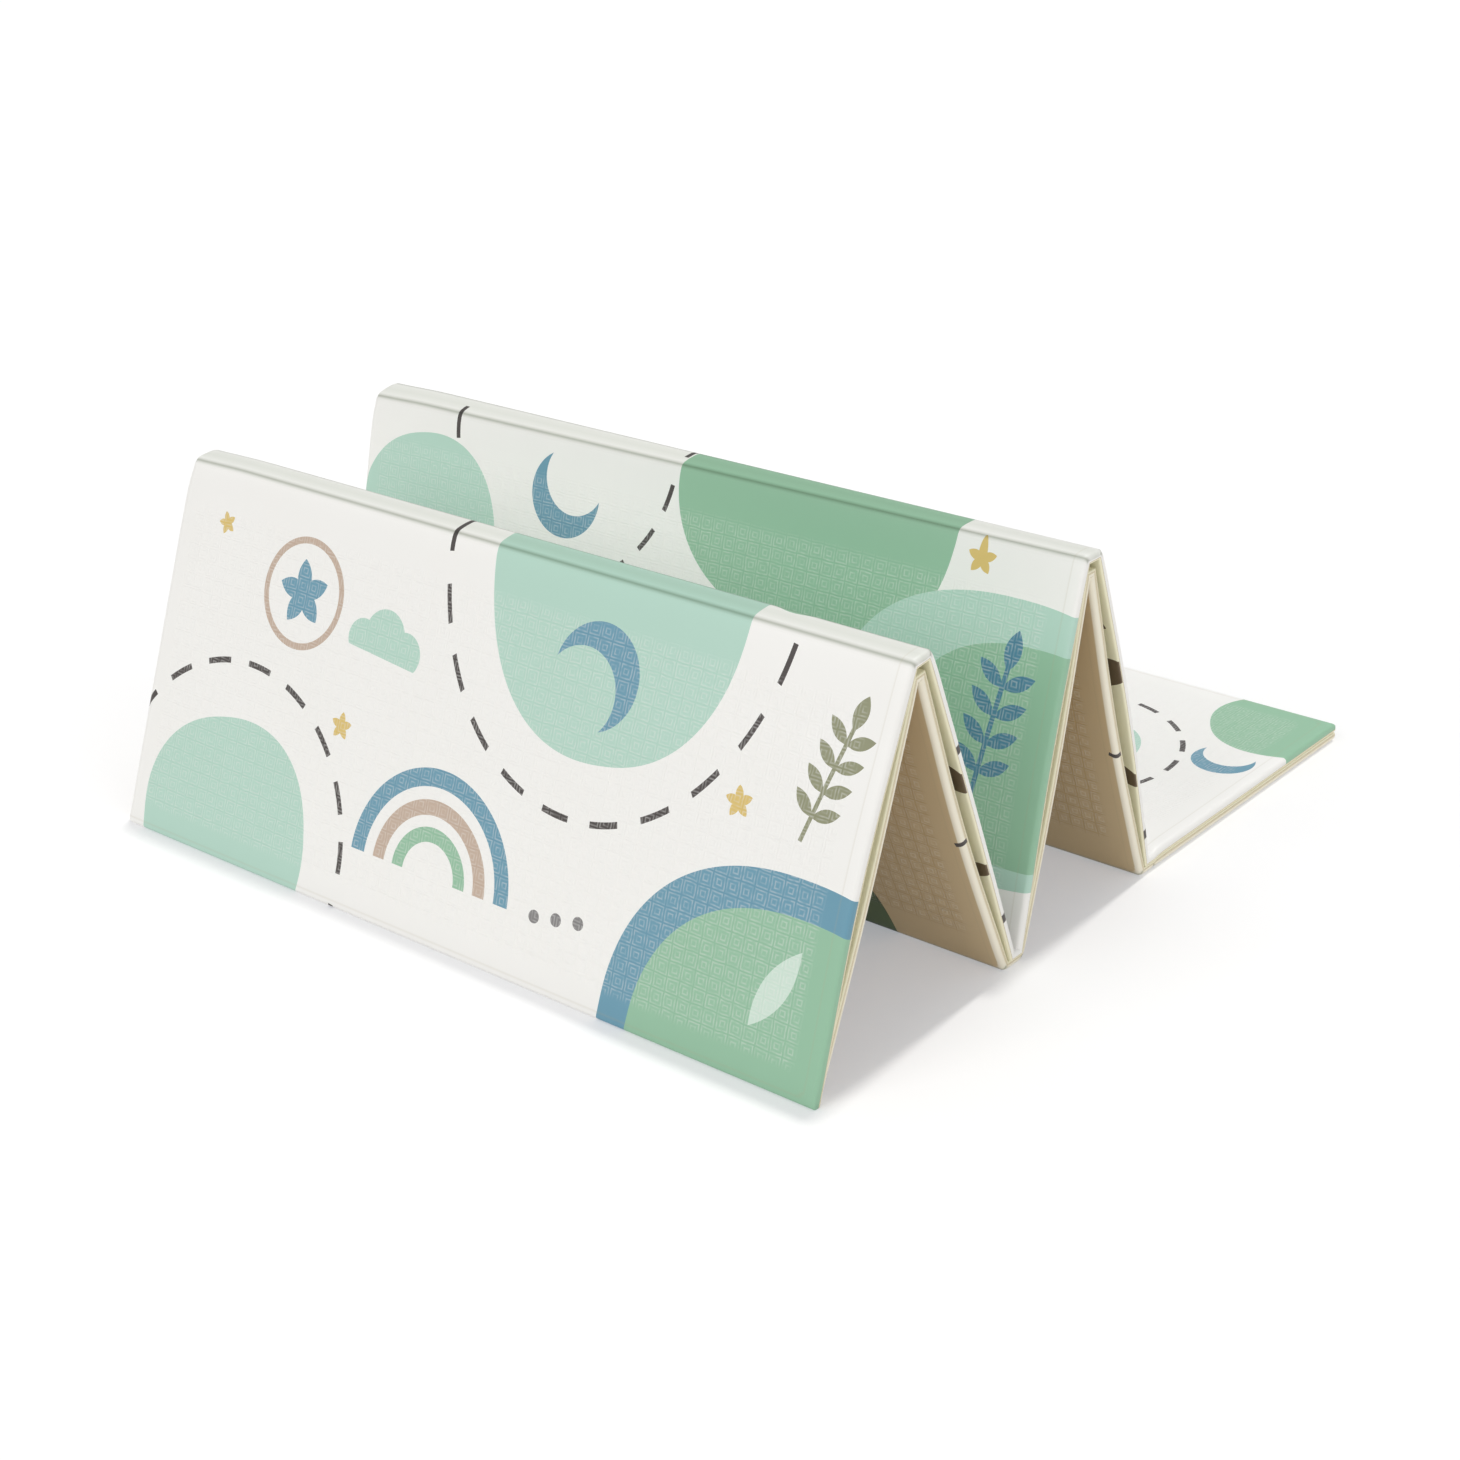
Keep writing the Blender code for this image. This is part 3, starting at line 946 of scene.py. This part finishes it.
# The print, drawn in order.
printMotifs = [
    # first panel
    motif("pebble", 0.150, 0.030, 0.118, "mint", tall=0.95, turn=12),
    motif("dashedRing", 0.150, 0.030, 0.170, "charcoal", turn=180, dashes=18.0, width=0.018),
    motif("ring", 0.205, 0.285, 0.056, "sand", width=0.12),
    motif("star", 0.205, 0.285, 0.034, "blue", turn=8),
    motif("cloud", 0.325, 0.262, 0.056, "mint", turn=-5),
    motif("ring", 0.436, 0.062, 0.104, "blue", width=0.17, cut=0.0),
    motif("ring", 0.436, 0.062, 0.074, "sand", width=0.2, cut=0.0),
    motif("ring", 0.436, 0.062, 0.048, "sage", width=0.3, cut=0.0),
    motif("pebble", 0.590, 0.405, 0.150, "mint", tall=1.25, turn=8),
    motif("crescent", 0.590, 0.295, 0.050, "blue", turn=200),
    motif("dashedRing", 0.590, 0.405, 0.205, "charcoal", tall=1.18, dashes=22.0, width=0.013,
          sweep=0.5),
    motif("dots", 0.600, 0.070, 0.040, "grey", turn=10),
    motif("pebble", 0.860, 0.000, 0.195, "blue", tall=0.95),
    motif("pebble", 0.868, -0.010, 0.170, "sage", tall=0.95),
    motif("sprig", 0.845, 0.215, 0.115, "olive", turn=-14),
    motif("leaf", 0.850, 0.085, 0.045, "paleMint", turn=62),
    motif("star", 0.290, 0.172, 0.014, "ochre"),
    motif("star", 0.080, 0.330, 0.012, "ochre", turn=20),
    motif("star", 0.775, 0.230, 0.015, "ochre", turn=10),
    # second panel
    motif("pebble", 0.760, 0.500, 0.090, "sage", tall=1.2, turn=30),
    motif("dashedRing", 0.925, 0.600, 0.120, "charcoal", dashes=12.0, width=0.04),
    motif("dashedLine", 0.880, 0.480, 0.060, "charcoal", turn=38, dashes=3.0, width=0.06),
    motif("pebble", 0.260, 0.640, 0.150, "mint", tall=0.9, turn=-10),
    motif("sprig", 0.560, 0.560, 0.150, "olive", turn=24),
    motif("ring", 0.120, 0.480, 0.060, "sand", width=0.14),
    motif("leaf", 0.120, 0.480, 0.036, "olive", turn=60),
    motif("star", 0.410, 0.470, 0.018, "ochre"),
    # third panel
    motif("pebble", 0.610, 1.170, 0.165, "sage", tall=0.85, turn=-6),
    motif("dashedRing", 0.290, 1.170, 0.150, "charcoal", dashes=18.0, width=0.018),
    motif("pebble", 0.110, 1.030, 0.100, "mint", tall=1.1, turn=10),
    motif("crescent", 0.300, 1.110, 0.046, "blue", turn=30),
    motif("pebble", 0.850, 0.985, 0.180, "mint", tall=0.75),
    motif("pebble", 0.880, 0.975, 0.130, "sage", tall=0.8),
    motif("sprig", 0.835, 0.925, 0.140, "deepBlue", turn=-8),
    motif("star", 0.805, 1.148, 0.016, "ochre"),
    motif("star", 0.430, 1.020, 0.020, "ochre", turn=12),
    motif("cloud", 0.420, 0.870, 0.080, "mint"),
    # fourth panel
    motif("dashedRing", 0.935, 1.390, 0.130, "charcoal", dashes=12.0, width=0.04),
    motif("pebble", 0.360, 1.360, 0.170, "mint", tall=0.85, turn=12),
    motif("ring", 0.360, 1.390, 0.080, "blue", turn=180, width=0.18, cut=0.0),
    motif("sprig", 0.680, 1.400, 0.140, "olive", turn=-18),
    # fifth panel
    motif("pebble", 0.690, 1.740, 0.090, "mint", tall=0.85, turn=16),
    motif("dashedRing", 0.690, 1.740, 0.135, "charcoal", dashes=16.0, width=0.022),
    motif("pebble", 0.880, 1.920, 0.090, "sage", tall=0.9, turn=30),
    motif("crescent", 0.860, 1.800, 0.034, "blue", turn=60),
    motif("pebble", 0.330, 1.760, 0.160, "sage", tall=0.8, turn=-14),
    motif("sprig", 0.120, 1.680, 0.150, "olive", turn=12),
    motif("star", 0.530, 1.880, 0.022, "ochre"),
    # lower half, first to fifth panel
    motif("pebble", -0.420, 0.180, 0.160, "sage", tall=0.9, turn=10),
    motif("dashedRing", -0.420, 0.180, 0.210, "charcoal", tall=0.8, dashes=18.0, width=0.018),
    motif("pebble", -0.712, 0.790, 0.078, "moss", tall=1.45),
    motif("dashedLine", -0.904, 0.600, 0.018, "charcoal", turn=20, dashes=1.0, width=0.13),
    motif("dashedLine", -0.904, 1.395, 0.018, "charcoal", turn=-16, dashes=1.0, width=0.13),
    motif("sprig", -0.300, 0.480, 0.160, "olive", turn=20),
    motif("pebble", -0.550, 0.960, 0.150, "mint", tall=0.85, turn=-16),
    motif("star", -0.250, 0.960, 0.030, "ochre"),
    motif("pebble", -0.360, 1.400, 0.150, "sage", tall=0.8, turn=20),
    motif("ring", -0.650, 1.760, 0.100, "blue", width=0.18),
    motif("pebble", -0.300, 1.760, 0.140, "mint", tall=0.9),
]

# The inner film's own print, seen where the layers part.
innerMotifs = [
    motif("pebble", 0.890, 0.535, 0.030, "bark", tall=0.5, turn=24),
    motif("pebble", 0.895, 0.655, 0.022, "bark", tall=0.4, turn=-18),
    motif("pebble", 0.890, 1.318, 0.030, "bark", tall=0.55, turn=-20),
    motif("pebble", 0.895, 1.440, 0.024, "bark", tall=0.4, turn=28),
    motif("star", 0.885, 1.255, 0.020, "bark"),
]

motifReach = 1.2               # what a turned motif may need beyond its size

# Where each panel begins and ends along the flat sheet, with a little to spare.
panelSpans = [(-0.02, 0.402), (0.370, 0.802), (0.770, 1.190), (1.160, 1.590), (1.560, 2.000)]


def motifsOn(number, lower):
    # The motifs that reach one panel of one half, turned ones too.
    first, last = panelSpans[number]
    chosen = []
    for row in printMotifs:
        reach = row["size"] * max(1.0, row["tall"]) * motifReach
        nearPanel = first - reach < row["along"] < last + reach
        nearHalf = row["across"] < reach if lower else row["across"] > -reach
        if nearPanel and nearHalf:
            chosen.append(row)
    return chosen


def makeFilmGroup():
    # The embossed film: nested boxes in rows, plain beside the folds and edges.
    tree, start, end = newGroup(
        "embossedFilm",
        [
            ("Place", "NodeSocketVector", None),
            ("Plain Band", "NodeSocketFloat", 0.0),
            ("Cell Size", "NodeSocketFloat", film["cell"]),
            ("Rib Width", "NodeSocketFloat", film["ribWidth"]),
            ("Pad Edge", "NodeSocketFloat", film["padEdge"]),
            ("Roughness", "NodeSocketFloat", film["roughness"]),
            ("Spread", "NodeSocketFloat", film["roughnessSpread"]),
        ],
        [(name, "NodeSocketFloat") for name in ("Height", "Rib", "Groove", "Roughness", "Cloud")],
    )
    centred = addNode(tree, "ShaderNodeVectorMath", operation="SUBTRACT")
    feed(tree, centred.inputs[0], noise(tree, start["Place"], *film["wobbleNoise"])["Color"])
    centred.inputs[1].default_value = (0.5, 0.5, 0.5)
    shifted = addNode(tree, "ShaderNodeVectorMath", operation="MULTIPLY_ADD")
    feed(tree, shifted.inputs[0], centred.outputs[0])
    shifted.inputs[1].default_value = (film["wobble"],) * 3
    feed(tree, shifted.inputs[2], start["Place"])
    x, y, _ = axes(tree, shifted.outputs[0])

    def fromMiddle(value):
        return sizeOf(tree, minus(tree, fraction(tree, over(tree, value, start["Cell Size"])), 0.5))

    def rib(place):
        off = sizeOf(tree, minus(tree, box, place))
        return minus(tree, 1.0, over(tree, off, start["Rib Width"]), clamp=True)

    box = times(tree, larger(tree, fromMiddle(x), fromMiddle(y)), 2.0)
    ribs = larger(tree, rib(film["outerRib"]), rib(film["innerRib"]))
    calmFrom, calmTo = (matSheet["calmBand"] + fade for fade in film["calmFade"])
    calm = mapped(tree, start["Plain Band"], calmFrom, calmTo)
    worn = noise(tree, start["Place"], *film["wearNoise"])[0]
    wear = mapped(tree, worn, *film["wearFrom"], *film["wear"], smooth=False)
    shown = allOf(tree, [ribs, calm, wear])
    groove = times(tree, mapped(tree, box, start["Pad Edge"], 1.0), calm)
    cloud = noise(tree, start["Place"], *film["cloudNoise"])[0]
    grain = noise(tree, start["Place"], *film["grainNoise"])[0]
    swing = times(tree, minus(tree, cloud, 0.5), start["Spread"])
    fine = times(tree, minus(tree, grain, 0.5), times(tree, start["Spread"], film["grainShare"]))
    rough = plus(tree, plus(tree, start["Roughness"], swing), fine)
    relief = minus(
        tree, times(tree, shown, film["ribRelief"]), times(tree, groove, film["grooveRelief"])
    )
    feed(tree, end["Roughness"], minus(tree, rough, times(tree, shown, film["ribPolish"])))
    feed(tree, end["Height"], plus(tree, relief, times(tree, grain, film["grainRelief"])))
    feed(tree, end["Rib"], shown)
    feed(tree, end["Groove"], groove)
    feed(tree, end["Cloud"], cloud)
    return tree


filmGroup = makeFilmGroup()


def addMotif(tree, colour, place, row):
    spot = addNode(tree, "ShaderNodeMapping", vector_type="TEXTURE")
    feedAll(tree, spot, {
        "Vector": place,
        "Location": (row["across"], row["along"], 0.0),
        "Rotation": (0.0, 0.0, math.radians(row["turn"])),
        "Scale": (row["size"], row["size"] * row["tall"], 1.0),
    })
    drawn = addNode(tree, "ShaderNodeGroup", node_tree=motifKinds[row["kind"]])
    feedAll(tree, drawn, {"Place": spot.outputs[0], **row["extras"]})
    return blendColours(tree, drawn.outputs["Mask"], colour, inks[row["ink"]])


def makeFilm(name, ground, motifs, lower=False):
    material, tree, shader = newMaterial(name)
    place = readAttribute(tree, "flatPlace")["Vector"]
    plainBand = readAttribute(tree, "plainBand")["Fac"]
    finish = addNode(tree, "ShaderNodeGroup", node_tree=filmGroup)
    padEdge = film["lowerPadEdge" if lower else "padEdge"]
    feedAll(tree, finish, {"Place": place, "Plain Band": plainBand, "Pad Edge": padEdge})
    colour = ground
    if lower:
        # The lower half's beige ground is painted darker and warmer as shade for the inside of the
        # tents. It stops short of its cream edges, and its ends are plain.
        through = mapped(tree, axes(tree, place)[2], *film["endFade"])
        rim = blendColours(tree, through, inks["cream"], inks["endBand"])
        colour = blendColours(tree, mapped(tree, plainBand, *film["rimFade"]), rim, ground)
    for row in motifs:
        colour = addMotif(tree, colour, place, row)

    # Ink lies thinner on the ribs; painted shade darkens it in the grooves between boxes.
    thinner = times(tree, finish.outputs["Rib"], film["ribTone"])
    colour = blendColours(tree, thinner, colour, inks["ground"])
    grooveShade = addNode(tree, "ShaderNodeGamma")
    tone = film["lowerGrooveShadeTone" if lower else "grooveShadeTone"]
    gamma = timesPlus(tree, finish.outputs["Groove"], tone, 1.0)
    feedAll(tree, grooveShade, {"Color": colour, "Gamma": gamma})
    colour = grooveShade.outputs["Color"]

    # The film is a touch warmer in broad clouds; painted shade darkens it in a crease and on a ridge's
    # back.
    pressed, spine = (readAttribute(tree, mark)["Fac"] for mark in ("pressed", "spine"))
    cloudy = times(tree, finish.outputs["Cloud"], film["cloudTone"])
    colour = blendColours(tree, cloudy, colour, inks["cloud"], "MULTIPLY")
    creaseShading = times(tree, pressed, film["creaseShadeTone"])
    colour = blendColours(tree, creaseShading, colour, inks["creaseShade"], "MULTIPLY")
    spineShade = times(tree, spine, film["spineShadeTone"], clamp=True)
    colour = blendColours(tree, spineShade, colour, inks["spineShade"], "MULTIPLY")

    # The seal shows as a thin line beside an open edge.
    aside = sizeOf(tree, minus(tree, readAttribute(tree, "fromRim")["Fac"], film["rimLine"]))
    seal = minus(tree, 1.0, over(tree, aside, film["rimLineWidth"]), clamp=True)
    colour = blendColours(tree, times(tree, seal, film["rimLineTone"]), colour, inks["seam"])
    feedAll(tree, shader, {"Base Color": colour, "Roughness": finish.outputs["Roughness"]})
    addBump(tree, shader, finish.outputs["Height"], film["bumpStrength"], film["bumpHeight"])
    return material


def makeSheetEdge():
    # Cut foam at the rim: cream, finely pored, with the film's seam along its outer side.
    material, tree, shader = newMaterial("foamEdge")
    through = axes(tree, readAttribute(tree, "flatPlace")["Vector"])[2]
    coords = addNode(tree, "ShaderNodeTexCoord").outputs["Object"]
    pores = addNode(tree, "ShaderNodeTexVoronoi", feature="F1")
    feedAll(tree, pores, {"Vector": coords, "Scale": foamEdge["poreScale"]})
    patches = noise(tree, coords, *foamEdge["patchNoise"])[0]
    colour = blendColours(tree, patches, inks["edge"], inks["edgePatch"])
    seam = isBelow(tree, through, foamEdge["seamUpTo"])
    colour = blendColours(tree, seam, colour, inks["seam"])
    spread = times(tree, patches, foamEdge["roughnessSpread"])
    rough = plus(tree, foamEdge["roughness"], spread)
    feedAll(tree, shader, {"Base Color": colour, "Roughness": rough})
    height = pores.outputs["Distance"]
    addBump(tree, shader, height, foamEdge["bumpStrength"], foamEdge["bumpHeight"])
    return material


def makeFilms():
    films = []
    for lower in (False, True):
        for number, panel in enumerate(panels):
            name = panel["name"] + ("LowerFilm" if lower else "UpperFilm")
            ground = inks["warmGroundWithShade"] if lower else inks["ground"]
            films.append(makeFilm(name, ground, motifsOn(number, lower), lower))
    films.append(makeSheetEdge())
    films.append(makeFilm("innerFilm", inks["innerFilm"], innerMotifs))
    return films


def makeFoamTree(films):
    # Presses the fold lines, swells the ridges' backs, lets the foam lie a little
    # unevenly, and lays each film on its own area.
    tree, start, end = newGroup(
        "pressedFoam",
        [
            ("Geometry", "NodeSocketGeometry", None),
            ("Press Depth", "NodeSocketFloat", 0.0),
            ("Spine Height", "NodeSocketFloat", 0.0),
            ("Unevenness", "NodeSocketFloat", 0.0),
            ("Lump Size", "NodeSocketFloat", 0.1),
            ("Seed", "NodeSocketInt", 0),
        ],
        [("Geometry", "NodeSocketGeometry")],
        "GeometryNodeTree",
    )

    def mark(name, kind="FLOAT"):
        node = addNode(tree, "GeometryNodeInputNamedAttribute", data_type=kind)
        node.inputs["Name"].default_value = name
        return node.outputs["Attribute"]

    lumps = addNode(tree, "ShaderNodeTexNoise", noise_dimensions="4D")
    feedAll(tree, lumps, {
        "Vector": mark("flatPlace", "FLOAT_VECTOR"),
        "W": start["Seed"],
        "Scale": over(tree, 1.0, start["Lump Size"]),
        "Detail": 1.0,
    })
    swing = times(tree, minus(tree, lumps.outputs[0], 0.5), start["Unevenness"])
    lift = times(tree, swing, mark("loose"))
    lift = plus(tree, lift, times(tree, mark("spine"), start["Spine Height"]))
    lift = minus(tree, lift, times(tree, mark("pressed"), start["Press Depth"]))
    offset = addNode(tree, "ShaderNodeVectorMath", operation="SCALE")
    feed(tree, offset.inputs[0], addNode(tree, "GeometryNodeInputNormal").outputs["Normal"])
    feed(tree, offset.inputs["Scale"], lift)
    moved = addNode(tree, "GeometryNodeSetPosition")
    feedAll(tree, moved, {"Geometry": start["Geometry"], "Offset": offset.outputs[0]})
    realized = addNode(tree, "GeometryNodeRealizeInstances")
    feed(tree, realized.inputs["Geometry"], moved.outputs["Geometry"])
    geometry = realized.outputs["Geometry"]
    for area, material in enumerate(films):
        chosen = addNode(tree, "FunctionNodeCompare", data_type="INT", operation="EQUAL")
        feed(tree, chosen.inputs[2], mark("printArea", "INT"))
        chosen.inputs[3].default_value = area
        dressed = addNode(tree, "GeometryNodeSetMaterial")
        onArea = chosen.outputs["Result"]
        feedAll(tree, dressed, {"Geometry": geometry, "Selection": onArea, "Material": material})
        geometry = dressed.outputs["Geometry"]
    feed(tree, end["Geometry"], geometry)
    return tree


def setInputs(modifier, values):
    for item in modifier.node_group.interface.items_tree:
        if item.item_type == "SOCKET" and item.in_out == "INPUT" and item.name in values:
            modifier[item.identifier] = values[item.name]


def makeMat():
    data = buildSheet()
    print("sheet folded:", len(data.polygons), "faces")
    rough = addObject("foldedSheet", data)
    films = makeFilms()
    modifier = rough.modifiers.new("pressedFoam", "NODES")
    modifier.node_group = makeFoamTree(films)
    setInputs(modifier, {
        "Press Depth": matSheet["pressDepth"],
        "Spine Height": matSheet["spineHeight"],
        "Unevenness": matSheet["unevenness"],
        "Lump Size": matSheet["lumpSize"],
        "Seed": matSheet["seed"],
    })
    ready = rough.evaluated_get(bpy.context.evaluated_depsgraph_get())
    finished = bpy.data.meshes.new_from_object(ready)
    finished.name = "printedMat"
    rough.modifiers.clear()
    bpy.data.objects.remove(rough, do_unlink=True)
    finished.shade_smooth()
    finished.set_sharp_from_angle(angle=math.radians(matSheet["smoothAngle"]))
    return addObject("printed_mat", finished)


mat = makeMat()
finishes = len(mat.data.materials)
print("film printed and embossed:", len(mat.data.polygons), "faces,", finishes, "finishes")
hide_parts("play_mat")
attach(mat, "root")

print("mat dressed")
